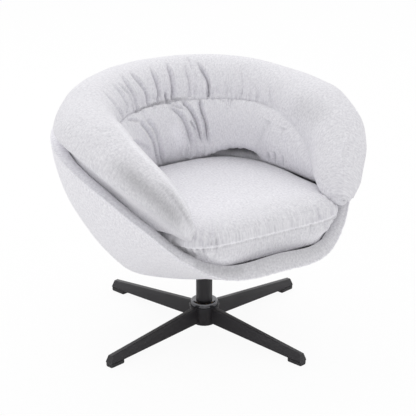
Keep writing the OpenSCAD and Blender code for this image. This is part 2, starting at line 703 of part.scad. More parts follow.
module dust_cover_staples() {
    staple_w = outer_pad * 0.8;
    color(steel_bright) for (i = [0:staple_count - 1]) let (a = i * 360 / staple_count)
        translate(around(a, foot_r(a) - outer_pad, shell_z - 2 * cover_t)) rotate([0, 0, a])
            translate([-staple_w / 2, -cover_t / 2, 0]) cube([staple_w, cover_t, cover_t]);
}
module seat_foam() {
    angles = [for (i = [0:shell_angles - 1]) i * 360 / shell_angles];
    floor_z = lining_floor_z + seat_gap;
    plug_r = bucket_hole_r - soft_gap;
    rings = [for (t = foam_shares) let (z = mix(foam_top_z, floor_z, t))
            [for (a = angles) around(a, lining_r(a, z) - soft_gap, z)],
        for (z = [floor_z, lining_z]) [for (a = angles) around(a, hem_r(a) - soft_gap, z)],
        for (z = [lining_z, bucket_z]) [for (a = angles) around(a, plug_r, z)]];
    color(foam) capped_rings(rings, [0, 0, foam_top_z], [0, 0, bucket_z]);
}

// Soft pieces
module back_arm_roll() {
    rings = [for (i = [0:roll_stations - 1])
        [for (k = [roll_points - 1:-1:0]) roll_point(roll_place(i), k)]];
    color(cloth)
        capped_rings(rings, [-tip_x, -tip_y, tip_z], [tip_x, -tip_y, tip_z], (roll_stations - 1) / 2);
}
module seat_cushion() {
    angles = [for (i = [0:cushion_angles - 1]) i * 360 / cushion_angles];
    rings = [for (s = cushion_rings) if (s > 0) [for (a = angles) crown_point(a, s)],
        for (s = boxing_rings) [for (a = angles) boxing_point(a, s)],
        for (s = [0.8, 0.5]) [for (a = angles) cushion_at(a, (cushion_r(a) - cushion_tuck) * s, cushion_z)]];
    color(cloth_shade)
        capped_rings(rings, [0, cushion_cy, seam_z + crown_h], [0, cushion_cy, cushion_z]);
}

base_hub();
leg(0);  // leg_1
leg(1);  // leg_2
leg(2);  // leg_3
leg(3);  // leg_4
glide(0);  // glide_1
glide(1);  // glide_2
glide(2);  // glide_3
glide(3);  // glide_4
glide_screws();
hub_bottom_cap();
column_tube();
polished_collar();
lower_bush();
upper_bush();
lower_race();
ball_cage();
bearing_balls();
upper_race();
bearing_cover();
spindle();
retaining_washer();
retaining_clip();
spindle_socket();
spindle_pin();
seat_plate();
plate_bolts();
plate_washers();
tee_nuts();
seat_deck();
deck_screws();
shell_bucket();
upholstered_shell();
dust_cover();
dust_cover_staples();
seat_foam();
back_arm_roll();
seat_cushion();
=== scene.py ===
import json
import math

import bpy
import numpy as np
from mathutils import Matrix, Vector
from mathutils.bvhtree import BVHTree


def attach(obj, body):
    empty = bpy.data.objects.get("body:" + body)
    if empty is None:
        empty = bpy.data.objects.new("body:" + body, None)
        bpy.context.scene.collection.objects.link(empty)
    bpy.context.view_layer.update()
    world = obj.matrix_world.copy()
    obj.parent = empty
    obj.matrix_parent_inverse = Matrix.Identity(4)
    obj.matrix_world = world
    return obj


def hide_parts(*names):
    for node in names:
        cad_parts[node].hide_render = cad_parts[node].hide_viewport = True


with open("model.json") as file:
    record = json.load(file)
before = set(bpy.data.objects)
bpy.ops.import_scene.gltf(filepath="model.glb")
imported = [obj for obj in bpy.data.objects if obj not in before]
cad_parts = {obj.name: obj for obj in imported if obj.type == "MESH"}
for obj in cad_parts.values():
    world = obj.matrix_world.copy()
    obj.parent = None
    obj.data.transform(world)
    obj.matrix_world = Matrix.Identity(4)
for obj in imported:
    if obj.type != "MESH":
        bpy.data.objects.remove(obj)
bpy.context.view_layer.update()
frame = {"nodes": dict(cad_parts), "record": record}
nodes = frame["nodes"]
print("frame loaded:", len(nodes), "nodes")

# The photo's camera: angles in degrees, lengths in metres, the focal length in pixels of the photo
photo = dict(
    pixels=416, azimuth=-33.0, elevation=20.8, distance=4.4, focal=1620.0,
    aimRight=0.0105, aimHeight=0.35, sensor=36.0)


def makeCamera():
    azimuth, elevation = math.radians(photo["azimuth"]), math.radians(photo["elevation"])
    aim = Vector((math.cos(azimuth), math.sin(azimuth), 0)) * photo["aimRight"]
    aim.z = photo["aimHeight"]
    away = Vector((math.sin(azimuth) * math.cos(elevation), -math.cos(azimuth) * math.cos(elevation),
                   math.sin(elevation)))
    data = bpy.data.cameras.new("camera")
    data.sensor_fit = "HORIZONTAL"
    data.sensor_width = photo["sensor"]
    data.lens = photo["focal"] * photo["sensor"] / photo["pixels"]
    camera = bpy.data.objects.new("camera", data)
    bpy.context.scene.collection.objects.link(camera)
    camera.location = aim + away * photo["distance"]
    camera.rotation_euler = (-away).to_track_quat("-Z", "Y").to_euler()
    bpy.context.scene.camera = camera
    bpy.context.view_layer.update()
    return camera


camera = makeCamera()


def photoRay(x, y):  # from the camera through a pixel of the photo
    middle = photo["pixels"] / 2
    seen = Vector((x - middle, middle - y, -photo["focal"]))
    return camera.location, (camera.matrix_world.to_3x3() @ seen).normalized()


# Small tools for the soft forms. An angle runs from the front of the chair, and every length is in metres
def mix(a, b, t):
    return a + (b - a) * t


def ease(t):
    u = np.clip(t, 0, 1)
    return u * u * (3 - 2 * u)


def hump(x, middle, width):
    return np.exp(-((x - middle) / width) ** 2)


def ridge(x, row):  # height, middle, width
    return row[0] * hump(x, row[1], row[2])


def planRadius(angle, halfWidth, reach, power):
    return ((np.abs(np.sin(angle)) / halfWidth) ** power
            + (np.abs(np.cos(angle)) / reach) ** power) ** (-1 / power)


def fromFront(angle):
    return np.degrees(np.abs((angle + np.pi) % (2 * np.pi) - np.pi))


def around(angle, radius, height):
    return np.stack(np.broadcast_arrays(radius * np.sin(angle), -radius * np.cos(angle), height), -1)


def readRows(rows, column, x):  # smooth value of one column of a table of rows
    table = np.array(rows, float)
    places, values = table[:, 0], table[:, column]
    slopes = np.zeros(len(places))
    slopes[1:-1] = (values[2:] - values[:-2]) / (places[2:] - places[:-2])
    k = np.clip(np.searchsorted(places, x, side="right") - 1, 0, len(places) - 2)
    step = places[k + 1] - places[k]
    u = np.clip((x - places[k]) / step, 0, 1)
    return ((2 * u ** 3 - 3 * u ** 2 + 1) * values[k] + (u ** 3 - 2 * u ** 2 + u) * slopes[k] * step
            + (3 * u ** 2 - 2 * u ** 3) * values[k + 1] + (u ** 3 - u ** 2) * slopes[k + 1] * step)


def softLeast(a, b, radius):  # the smaller of two lengths, with a rounded step between them
    k = np.clip(0.5 + (b - a) / (2 * radius), 0, 1)
    return mix(b, a, k) - radius * k * (1 - k)


def smoothAlong(points, passes, axis=0, closed=False):  # averages along one axis of a grid
    for _ in range(passes):
        before, after = np.roll(points, 1, axis), np.roll(points, -1, axis)
        mean = (before + 2 * points + after) / 4
        if not closed:
            for end in (0, -1):
                picked = [slice(None)] * points.ndim
                picked[axis] = end
                mean[tuple(picked)] = points[tuple(picked)]
        points = mean
    return points


def spreadEvenly(line, count):  # the same open line with evenly spaced points
    steps = np.concatenate([[0], np.cumsum(np.linalg.norm(np.diff(line, axis=0), axis=1))])
    at = np.linspace(0, steps[-1], count)
    return np.stack([np.interp(at, steps, line[:, k]) for k in range(line.shape[1])], 1)


def lengthsAlong(points, axis, closed):  # running length along one axis of a grid
    moved = np.moveaxis(points, axis, 0)
    if closed:
        moved = np.concatenate([moved, moved[:1]])
    steps = np.linalg.norm(np.diff(moved, axis=0), axis=-1)
    run = np.concatenate([np.zeros((1,) + steps.shape[1:]), np.cumsum(steps, 0)])
    return np.moveaxis(run, 0, axis)


# A soft piece is a grid of rows of points. Its UV map is the cloth laid flat, in metres
def gridPiece(name, points, flat, closedRows, ends=()):
    rows, columns = points.shape[:2]
    i, j = np.meshgrid(np.arange(rows if closedRows else rows - 1), np.arange(columns), indexing="ij")
    i, j = i.ravel(), j.ravel()
    nextI, nextJ = (i + 1) % rows, (j + 1) % columns
    faces = np.stack([i * columns + j, nextI * columns + j, nextI * columns + nextJ,
                      i * columns + nextJ], 1).tolist()
    corners = np.stack([flat[i, j], flat[i + 1, j], flat[i + 1, j + 1], flat[i, j + 1]], 1)
    flatCorners = corners.reshape(-1, 2).tolist()
    vertices = points.reshape(-1, 3).tolist()
    for row, cap in ends:  # a fan that closes the first or the last row
        start = (row % rows) * columns
        middle = flat[row, :columns].mean(0).tolist()
        for k in range(columns):
            pair = [(start + k, flat[row, k]), (start + (k + 1) % columns, flat[row, k + 1])]
            pair = pair[::-1] if row == -1 else pair
            faces.append([pair[0][0], pair[1][0], len(vertices)])
            flatCorners += [list(pair[0][1]), list(pair[1][1]), middle]
        vertices.append(list(cap))
    mesh = bpy.data.meshes.new(name)
    mesh.from_pydata(vertices, [], faces)
    mesh.uv_layers.new(name="cloth").data.foreach_set("uv", np.array(flatCorners, np.float32).ravel())
    mesh.polygons.foreach_set("use_smooth", np.ones(len(faces), bool))
    mesh.update()
    piece = bpy.data.objects.new(name, mesh)
    bpy.context.scene.collection.objects.link(piece)
    return piece


def readMesh(mesh):  # the places of the vertices and their normals
    places, normals = (np.zeros(len(mesh.vertices) * 3, np.float32) for _ in range(2))
    mesh.vertices.foreach_get("co", places)
    mesh.vertex_normals.foreach_get("vector", normals)
    return places.reshape(-1, 3).astype(float), normals.reshape(-1, 3).astype(float)


def treeOf(mesh, places):
    return BVHTree.FromPolygons(places.tolist(), [p.vertices[:] for p in mesh.polygons])


def writeMesh(mesh, places):
    mesh.vertices.foreach_set("co", places.astype(np.float32).ravel())
    mesh.update()


def setPaintedShading(mesh, paintedShades):  # painted light and shade of the cloth at each vertex, which scales its colour
    mesh.attributes.new("paintedShading", "FLOAT", "POINT").data.foreach_set("value", paintedShades.astype(np.float32))


# Folds of the cloth. A fold drawn on the photo is cast onto the piece that it lies on
def photoLine(tree, pixels, spacing=1.5):
    line = np.array(pixels, float)
    for _ in range(2):  # each corner is cut twice, which rounds the line
        cut = [line[:1]] + [np.array([mix(a, b, 0.25), mix(a, b, 0.75)]) for a, b in zip(line, line[1:])]
        line = np.concatenate(cut + [line[-1:]])
    length = np.linalg.norm(np.diff(line, axis=0), axis=1).sum()
    line = spreadEvenly(line, max(int(length / spacing), 3))
    hits = [tree.ray_cast(*photoRay(x, y))[0] for x, y in line]
    return np.array([hit for hit in hits if hit is not None])


# Profile of a fold: shares of its depth, and reaches in widths of its flank
foldShape = dict(
    span=12, beyond=3, groove=0.7, valley=0.3, valleyReach=4.5, ridge=0.16,
    ridgeAt=6, ridgeReach=3, smoothing=3)


def pointsAround(places, line, span):
    return np.nonzero(np.all((places > line.min(0) - span) & (places < line.max(0) + span), axis=1))[0]


def fadeEnds(share, fades):
    return ease(share / fades[0]) * ease((1 - share) / fades[1])


def pressFold(places, normals, line, depth, width, lean=0.4, fades=(0.25, 0.25)):
    chosen = pointsAround(places, line, foldShape["span"] * width)
    length = np.linalg.norm(np.diff(line, axis=0), axis=1).sum()
    line = smoothAlong(spreadEvenly(line, max(int(length / width), 4)), foldShape["smoothing"])
    tangents = np.gradient(line, axis=0)
    gaps = np.linalg.norm(places[chosen][:, None] - line[None], axis=2)
    nearest = gaps.argmin(1)
    share = nearest / (len(line) - 1)
    side = np.cross(normals[chosen], tangents[nearest])
    side /= np.linalg.norm(side, axis=1)[:, None] + 1e-9
    across = np.einsum("ij,ij->i", places[chosen] - line[nearest], side)
    beyond = np.sqrt(np.maximum(gaps.min(1) ** 2 - across ** 2, 0))
    strength = fadeEnds(share, fades) * hump(beyond, 0, foldShape["beyond"] * width)
    flank = width * np.where(across > 0, 1 - lean, 1 + lean)
    groove = foldShape["groove"] * np.exp(-np.abs(across) / flank)
    valley = foldShape["valley"] * hump(across, 0, foldShape["valleyReach"] * flank)
    raised = foldShape["ridge"] * hump(np.abs(across), foldShape["ridgeAt"] * flank,
                                       foldShape["ridgeReach"] * flank)
    places[chosen] += normals[chosen] * (depth * strength * (raised - valley - groove))[:, None]


# sizes of a painted streak of shade or light
streak = dict(points=60, span=3, smoothing=3)


def brush(paintedShading, places, line, width, shade, fades=(0.1, 0.1)):  # paints a streak of shade into the colour; a shade above one paints light
    line = smoothAlong(spreadEvenly(line, streak["points"]), streak["smoothing"])
    near = pointsAround(places, line, streak["span"] * width)
    gaps = np.linalg.norm(places[near][:, None] - line[None], axis=2)
    share = gaps.argmin(1) / (len(line) - 1)
    paintedShading[near] *= 1 + (shade - 1) * fadeEnds(share, fades) * hump(gaps.min(1), 0, width)


# Spread of the gathers' sizes, their drift sideways, and the ridges beside each, in widths of it
gatherShape = dict(
    widths=(0.6, 1.7), depths=(0.3, 1.0), lengths=(0.4, 1.5), drift=0.15,
    power=1.25, ridge=0.3, ridgeAt=2.4, ridgeReach=1.2, span=6, flare=0.2)


def gathers(along, away, seed, count, width, depth, length):  # uneven little folds that leave a seam
    rng = np.random.default_rng(seed)
    low, span = along.min(), along.max() - along.min()
    total = np.zeros(np.broadcast(along, away).shape)
    for _ in range(count):
        place, wide = low + span * rng.random(), width * rng.uniform(*gatherShape["widths"])
        deep = depth * rng.uniform(*gatherShape["depths"])
        far = length * rng.uniform(*gatherShape["lengths"])
        drift = rng.uniform(-gatherShape["drift"], gatherShape["drift"])
        near = np.abs(along - place) < gatherShape["span"] * wide + gatherShape["flare"] * far
        x = np.abs((along - place - drift * away) / (wide * (1 + away / far)))
        beside = gatherShape["ridge"] * hump(x, gatherShape["ridgeAt"], gatherShape["ridgeReach"])
        shape = np.exp(-x ** gatherShape["power"]) - beside
        total -= np.where(near, deep * shape * np.exp(-(away / far) ** 2), 0)
    return total


swellShape = dict(waves=14, sizes=(0.7, 1.6), starts=(0, 6.3), share=4)


def unevenness(places, seed, size, height):  # a slow random swell of the padding
    rng = np.random.default_rng(seed)
    total = np.zeros(len(places))
    for _ in range(swellShape["waves"]):
        way = rng.normal(size=3)
        way /= np.linalg.norm(way)
        total += np.sin(places @ way * 2 * np.pi / (size * rng.uniform(*swellShape["sizes"]))
                        + rng.uniform(*swellShape["starts"]))
    return total * height / swellShape["share"]


# Upholstered shell: outer wall, rim and inner wall, cut to the same curves as the moulded bucket in it
shell = dict(
    halfWidth=0.399, front=0.378, back=0.378, bottom=0.232, rimFront=0.300,
    rimBack=0.600, footHalfWidth=0.250, footFront=0.207, footBack=0.232,
    wall=0.042, bandFront=0.030, band=0.038, outerPad=0.014, bucket=0.008,
    floor=0.006, frontPower=2.05, backPower=2.3, footPower=1.9,
    bendFront=1.0, bendBack=1.65, swellFront=1.0, swellBack=0.87, turn=110.0,
    bandTurn=70.0, tilt=0.038, dip=0.004, crown=0.006, deckTop=0.250,
    seatGap=0.0003, slotShare=0.86, angles=720, skinPoints=330, slotPoints=12,
    wallPoints=90, bandPoints=22, liningPoints=60, smoothing=2, liningBlend=0.8,
    # at the rim's fold: a lip (height, width), a dent beside it (depth, place, width), gathers (seed,
    # count, width, depth, length) and the padding's swell (seed, size, height), which starts below it
    lip=(0.0018, 0.0024), dent=(0.0010, 0.007, 0.003), gathers=(5, 420, 0.0030, 0.0007, 0.022),
    swell=(11, 0.16, 0.0012), swellFrom=0.03,
    # angle from the front, then the rim's height as a share of its rise
    rise=[[0, 0], [24, 0], [40, 0.167], [55, 0.42], [75, 0.667], [100, 0.8], [140, 0.927], [180, 1]],
    # painted light and shade: angle from the front, then how light the wall, the band beside the fold and the
    # band at its inner edge are painted
    paintedShades=[[0, 1.12, 0.95, 0.68], [60, 1.12, 1, 0.8], [90, 1.12, 1.1, 1.05], [130, 1.12, 1.1, 1.1],
            [180, 1.05, 1, 1]],
    shadePower=0.8, shadeStep=0.002, shadeEnd=0.006,
    # a painted shadow on the band, drawn on the photo: points, width, shade
    streak=([(192, 262), (208, 269), (224, 272), (246, 270)], 0.014, 0.84),
    # folds of the band and the wall, drawn on the photo: points, depth, width
    folds=[
        ([(208, 265), (214, 268), (219, 272), (221, 281)], 0.0022, 0.004),
        ([(203, 261), (209, 268), (212, 275)], 0.0016, 0.004),
        ([(226, 268), (228, 276), (228, 282)], 0.0014, 0.004),
        ([(320, 238), (326, 241), (331, 242)], 0.0020, 0.004),
        ([(70, 172), (84, 187), (99, 200)], 0.0018, 0.005),
        ([(100, 203), (116, 216), (134, 230)], 0.0016, 0.005),
        ([(136, 231), (155, 247), (174, 262)], 0.0014, 0.005)])


def rimRadius(angle):
    front = np.cos(angle) > 0
    return planRadius(angle, shell["halfWidth"], np.where(front, shell["front"], shell["back"]),
                      np.where(front, shell["frontPower"], shell["backPower"]))


def rimHeight(angle):
    return mix(shell["rimFront"], shell["rimBack"], readRows(shell["rise"], 1, fromFront(angle)))


def footRadius(angle):
    return planRadius(angle, shell["footHalfWidth"],
                      np.where(np.cos(angle) > 0, shell["footFront"], shell["footBack"]), shell["footPower"])


def outerRadius(angle, height):
    k = ease(fromFront(angle) / shell["turn"])
    t = np.clip((height - shell["bottom"]) / (rimHeight(angle) - shell["bottom"]), 0, 1)
    bent = 1 - (1 - t) ** mix(shell["bendFront"], shell["bendBack"], k)
    return mix(footRadius(angle), rimRadius(angle), bent ** mix(shell["swellFront"], shell["swellBack"], k))


def bandWidth(angle):
    return mix(shell["bandFront"], shell["band"], ease(fromFront(angle) / shell["bandTurn"]))


def bandHeight(angle):
    return rimHeight(angle) + mix(shell["tilt"], -shell["dip"], ease(fromFront(angle) / shell["bandTurn"]))


def innerRadius(angle, height):
    below = ease((bandHeight(angle) - height) / (shell["band"] * shell["liningBlend"]))
    return outerRadius(angle, height) - mix(bandWidth(angle), shell["wall"], below)


def shellSection(angle):  # rows of (radius, height), from the bottom hem over the rim and round the slot
    low, rim, band = shell["bottom"], float(rimHeight(angle)), float(bandHeight(angle))
    slotFloor = shell["deckTop"] + shell["seatGap"] * 2 + shell["floor"]
    liningFloor = slotFloor + shell["floor"]
    slotOut = shell["outerPad"] + shell["bucket"] + shell["seatGap"] * 2
    hem = float(footRadius(angle)) - slotOut - shell["outerPad"]
    wallHeights = mix(low, rim, np.linspace(0, 1, shell["wallPoints"]))
    wallLine = np.stack([outerRadius(angle, wallHeights), wallHeights], 1)
    fold, edge = wallLine[-1], np.array([innerRadius(angle, band), band])
    peak = (fold + edge) / 2 + [0, 2 * shell["crown"]]
    t = np.linspace(0, 1, shell["bandPoints"])[1:-1, None]
    bandLine = (1 - t) ** 2 * fold + 2 * t * (1 - t) * peak + t ** 2 * edge
    liningHeights = mix(band, liningFloor, np.linspace(0, 1, shell["liningPoints"]))
    liningLine = np.stack([innerRadius(angle, liningHeights), liningHeights], 1)
    skin = spreadEvenly(np.concatenate([wallLine, bandLine, liningLine]), shell["skinPoints"])
    skin = smoothAlong(skin, shell["smoothing"])
    slotHeights = mix(slotFloor, mix(low, rim, shell["slotShare"]), np.linspace(0, 1, shell["slotPoints"]))
    inside = np.stack([outerRadius(angle, slotHeights) - slotOut, slotHeights], 1)
    outside = np.stack([outerRadius(angle, slotHeights) - shell["outerPad"], slotHeights], 1)[::-1]
    hemLine = [[hem, liningFloor], [hem, slotFloor]]
    footLine = [[float(footRadius(angle)) - shell["outerPad"], low]]
    return np.concatenate([skin, hemLine, inside, outside, footLine])


def buildShell():
    angles = np.arange(shell["angles"]) * 2 * np.pi / shell["angles"]
    sections = np.array([shellSection(a) for a in angles])
    points = around(angles[:, None], sections[:, :, 0], sections[:, :, 1])
    third = shell["skinPoints"] // 3
    runRound = lengthsAlong(points[:, third:third + 1], 0, True)
    runUp = lengthsAlong(points, 1, True)
    flat = np.stack(np.broadcast_arrays(runRound, np.concatenate([runUp, runUp[:1]])), -1)
    piece = gridPiece("shell_upholstery", points, flat, True)
    places, normals = readMesh(piece.data)
    fold = around(angles, rimRadius(angles), rimHeight(angles))
    edge = around(angles, innerRadius(angles, bandHeight(angles)), bandHeight(angles))
    foldRow, edgeRow = (np.linalg.norm(points - line[:, None], axis=2).argmin(1) for line in (fold, edge))
    foldRun, edgeRun = (np.take_along_axis(runUp, row[:, None], 1) for row in (foldRow, edgeRow))
    fromFold = runUp[:, :-1] - foldRun  # below zero on the wall, above zero on the band and the lining
    skin = fromFold < edgeRun - foldRun
    away = np.abs(fromFold)
    along = np.broadcast_to(angles[:, None] * shell["halfWidth"], away.shape)
    lip, lipWidth = shell["lip"]
    swell = unevenness(places, *shell["swell"]).reshape(away.shape)
    lift = np.where(skin, gathers(along, away, *shell["gathers"]), 0)
    lift += np.where(skin, lip * np.exp(-away / lipWidth) - ridge(fromFold, shell["dent"]), 0)
    lift += np.where(skin, swell, 0) * ease(-fromFold / shell["swellFrom"])
    places += normals * lift.reshape(-1, 1)
    # painted light on the wall and painted shade on the band under the roll
    onWall, beside, within = (readRows(shell["paintedShades"], k, fromFront(angles))[:, None] for k in (1, 2, 3))
    share = np.clip(fromFold / (edgeRun - foldRun), 0, 1)
    onBand = mix(beside, within, share ** shell["shadePower"])
    paintedShading = mix(onWall, onBand, ease(fromFold / shell["shadeStep"]))
    paintedShading = mix(paintedShading, 1, ease((fromFold - edgeRun + foldRun) / shell["shadeEnd"])).ravel()
    tree = treeOf(piece.data, places)
    # a painted shadow across the front of the band
    pixels, width, shade = shell["streak"]
    brush(paintedShading, places, photoLine(tree, pixels), width, shade)
    setPaintedShading(piece.data, paintedShading)
    for pixels, depth, width in shell["folds"]:
        pressFold(places, normals, photoLine(tree, pixels), depth, width)
    writeMesh(piece.data, places)
    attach(piece, "seat")
    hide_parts("upholstered_shell")
    return piece


# Back and arm roll: an upper roll and a lumbar swell that run into two tapering arms
roll = dict(
    halfSpan=0.317, back=0.290, height=0.611, halfWidth=0.084, halfHeight=0.0875,
    lumbarHalfWidth=0.072, lumbarHalfHeight=0.090, tipHeight=0.417, tipX=0.236,
    tipReach=0.312, armPower=3.2, lean=1.22, heel=0.040, gap=0.0012,
    tipStart=0.955, tipLeast=0.0004, startMost=0.6, softStep=0.006, stations=1500,
    sectionPoints=230, endDense=0.3, sideDense=0.09, innerDense=0.25, smoothing=2,
    # the crease between the upper roll and the lumbar swell, and the gathers that leave it and the hem
    crease=0.010, creaseWidth=0.0035, creasePower=1.2, creaseTo=0.52, fade=0.1,
    upperGathers=(3, 230, 0.0020, 0.0042, 0.045), lumbarGathers=(4, 150, 0.0024, 0.0042, 0.035),
    hemGathers=(6, 80, 0.0035, 0.0035, 0.035), hemShare=0.22, hemLength=0.75, hemTo=0.45,
    swell=(21, 0.13, 0.0016),
    # place along the half, outward shift, drop, half width, half height, as shares
    upper=[[0, 0, 0, 1, 1], [0.25, -0.05, 0.02, 0.97, 1], [0.38, 0.04, 0.08, 1.04, 0.99],
           [0.5, 0.18, 0.16, 1.1, 1.02], [0.62, 0.28, 0.26, 1.1, 1.1],
           [0.75, 0.2, 0.42, 1.03, 1.03], [0.85, 0.02, 0.58, 0.95, 0.82],
           [0.93, -0.12, 0.75, 0.78, 0.56], [0.97, -0.1, 0.87, 0.64, 0.44], [1, 0, 0.97, 0.5, 0.36]],
    lower=[[0, -0.8, 0.535, 1, 1.21], [0.12, -0.78, 0.525, 1, 1.2], [0.25, -0.74, 0.49, 1, 1.15],
           [0.4, -0.64, 0.50, 1.04, 1.15], [0.5, -0.55, 0.555, 1.04, 1.03],
           [0.62, -0.38, 0.63, 0.94, 0.88], [0.75, -0.22, 0.715, 0.88, 0.66],
           [0.85, -0.06, 0.79, 0.74, 0.47], [0.93, 0, 0.86, 0.42, 0.3], [1, 0, 0.97, 0.04, 0.04]],
    # folds drawn on the photo: points, depth, width, lean. A deep one has a painted shadow in it
    foldScale=1.2, shadeWidth=1.3, shadeGain=26, shadeFrom=0.004, shadeMost=0.38,
    foldFades=(0.35, 0.05), lumbarFades=(0.1, 0.3),
    folds=[
        ([(101, 89), (111, 98), (120, 110), (123, 116)], 0.0074, 0.0024, 0.4),
        ([(110, 82), (122, 92), (128, 104), (128, 115)], 0.0091, 0.0020, 0.4),
        ([(120, 73), (133, 90), (139, 105), (137, 113)], 0.0144, 0.0020, 0.4),
        ([(116, 80), (130, 94), (135, 104), (134, 112)], 0.0074, 0.0016, 0.4),
        ([(128, 70), (144, 85), (149, 98), (149, 107)], 0.0144, 0.0020, 0.4),
        ([(149, 66), (157, 78), (159, 92), (159, 104)], 0.0158, 0.0020, 0.4),
        ([(166, 61), (172, 74), (174, 88), (173, 100)], 0.0173, 0.0020, 0.4),
        ([(184, 64), (190, 80), (190, 97)], 0.0086, 0.0024, 0.4),
        ([(196, 60), (204, 71), (209, 84), (209, 97)], 0.0186, 0.0020, 0.4),
        ([(188, 57), (192, 68)], 0.0054, 0.0016, 0.2),
        ([(165, 92), (165.5, 102)], 0.0091, 0.0012, 0.2),
        ([(216, 84), (217, 97)], 0.0040, 0.0030, 0.2),
        ([(225, 80), (227, 97)], 0.0040, 0.0030, 0.2),
        ([(241, 64), (242, 80), (242, 96)], 0.0040, 0.0030, 0.2),
        ([(254, 82), (257, 99)], 0.0040, 0.0030, 0.2),
        ([(267, 82), (271, 105)], 0.0040, 0.0030, 0.2),
        # puckers on the arm
        ([(91, 125), (98, 130), (104, 132)], 0.0018, 0.0030, 0.2),
        ([(97, 131), (107, 131), (116, 128)], 0.0018, 0.0030, 0.2),
        ([(101, 136), (110, 137), (119, 134)], 0.0018, 0.0030, 0.2),
        ([(106, 141), (116, 143), (124, 141)], 0.0018, 0.0030, 0.2)],
    # folds of the lumbar swell, from the crease down
    lumbarFolds=[
        ([(167, 102), (177, 106), (186, 110)], 0.0074, 0.0016, 0.2),
        ([(170, 105), (183, 116), (189, 131), (192, 150)], 0.0144, 0.0024, 0.4),
        ([(183, 101), (190, 107), (197, 121), (200, 134), (203, 148)], 0.0173, 0.0020, 0.4),
        ([(190, 120), (196, 129), (201, 142)], 0.0115, 0.0016, 0.4),
        ([(200, 99), (202, 111), (207, 125), (208, 147)], 0.0201, 0.0020, 0.4),
        ([(218, 98), (226, 102)], 0.0054, 0.0016, 0.2),
        ([(146, 118), (156, 128), (160, 140), (163, 166)], 0.0115, 0.0024, 0.3),
        ([(140, 120), (150, 131), (157, 146), (158, 166)], 0.0158, 0.0024, 0.3),
        ([(134, 141), (146, 147), (154, 156)], 0.0086, 0.0020, 0.3),
        ([(127, 120), (134, 119), (141, 122)], 0.0091, 0.0016, 0.3),
        ([(269, 120), (261, 134), (256, 150)], 0.0060, 0.0065, 0.3),
        ([(284, 127), (277, 146)], 0.0040, 0.0060, 0.3),
        ([(204, 161), (220, 157), (236, 154), (250, 156), (264, 161)], 0.0350, 0.0070, 0),
        ([(268, 152), (269, 162)], 0.0091, 0.0016, 0.2),
        ([(274, 152), (275, 164)], 0.0091, 0.0016, 0.2),
        ([(282, 155), (283, 167)], 0.0074, 0.0016, 0.2)],
    # painted shade and painted light, as streaks drawn on the photo: points, width, shade
    streakFades=(0.4, 0.25),
    streaks=[
        ([(154, 179), (160.5, 186.5), (170.5, 197), (180.5, 212), (188.5, 226), (192, 236)],
         0.005, 0.82),
        ([(126, 117), (150, 105), (170, 100), (197, 97)], 0.005, 0.62),
        ([(206, 162), (222, 157), (236, 155), (250, 157), (262, 161)], 0.012, 0.2),
        ([(285, 102), (310, 108), (328, 122)], 0.040, 0.9),
        ([(170, 120), (178, 135), (182, 150)], 0.020, 1.12),
        ([(104, 152), (130, 176), (150, 193), (166, 207), (179, 222), (188, 235)], 0.027, 0.66),
        ([(108, 112), (122, 130), (133, 145), (158, 170), (175, 189), (188, 208), (192, 226)],
         0.013, 1.13)],
    # seam of the arm's end, on the photo's left arm and mirrored to the other
    armSeam=[(150, 177), (162, 185), (172, 195), (182, 211), (190, 225), (193.5, 238)],
    # what lifts it: depth, width, lean, fades; and a painted highlight along it: width, shade
    seamFolds=[(-0.012, 0.009, 0, (0.4, 0.1)), (-0.0045, 0.0016, 0, (0.2, 0.05))],
    seamHighlight=(0.0030, 1.15))


def rollAxis(t):
    u = 2 * t - 1
    x = np.where(t <= 0.5, roll["halfSpan"] * np.sin(np.minimum(t, 0.5) * np.pi),
                 roll["halfSpan"] - (roll["halfSpan"] - roll["tipX"]) * np.maximum(u, 0) ** roll["armPower"])
    y = np.where(t <= 0.5, roll["back"] * np.cos(np.minimum(t, 0.5) * np.pi), -roll["tipReach"] * u)
    return np.stack([x, y], -1)


def rollOut(t):
    step = 0.001
    d = rollAxis(np.minimum(t + step, 1)) - rollAxis(np.maximum(t - step, 0))
    return np.stack([-d[..., 1], d[..., 0]], -1) / np.linalg.norm(d, axis=-1)[..., None]


def oval(rows, t, halfWidth, halfHeight):
    fall = roll["height"] - roll["tipHeight"]
    middle = np.stack([readRows(rows, 1, t) * halfWidth, roll["height"] - readRows(rows, 2, t) * fall], -1)
    beyond = np.maximum(t - roll["tipStart"], 0) / (1 - roll["tipStart"])
    rounded = np.sqrt(np.maximum(1 - beyond ** 2, roll["tipLeast"]))
    half = np.stack([readRows(rows, 3, t) * halfWidth, readRows(rows, 4, t) * halfHeight], -1)
    return middle, half * rounded[..., None]


def reach(middle, half, start, direction):
    p, d = (start - middle) / half, direction / half
    a, b, c = (d * d).sum(-1), 2 * (p * d).sum(-1), (p * p).sum(-1) - 1
    q = b * b - 4 * a * c
    return np.where(q < 0, -1, (-b + np.sqrt(np.maximum(q, 0))) / (2 * a))


def rollSection(t, share):  # (outward, height); share 0 lies in the crease, a quarter is the bottom
    up, upHalf = oval(roll["upper"], t, roll["halfWidth"], roll["halfHeight"])
    low, lowHalf = oval(roll["lower"], t, roll["lumbarHalfWidth"], roll["lumbarHalfHeight"])
    gap = up - low
    rUp, rLow = upHalf.mean(-1), lowHalf.mean(-1)
    apart = (gap * gap).sum(-1)
    toStart = np.clip((apart + rUp ** 2 - rLow ** 2) / (2 * apart + 1e-12), 0, roll["startMost"])
    start = up - gap * toStart[..., None]
    v = np.arctan2(gap[..., 1], gap[..., 0]) + np.pi / 2 + share * 2 * np.pi
    direction = np.stack([np.cos(v), np.sin(v)], -1)
    far = np.maximum(reach(up, upHalf, start, direction), reach(low, lowHalf, start, direction))
    return start + direction * far[..., None]


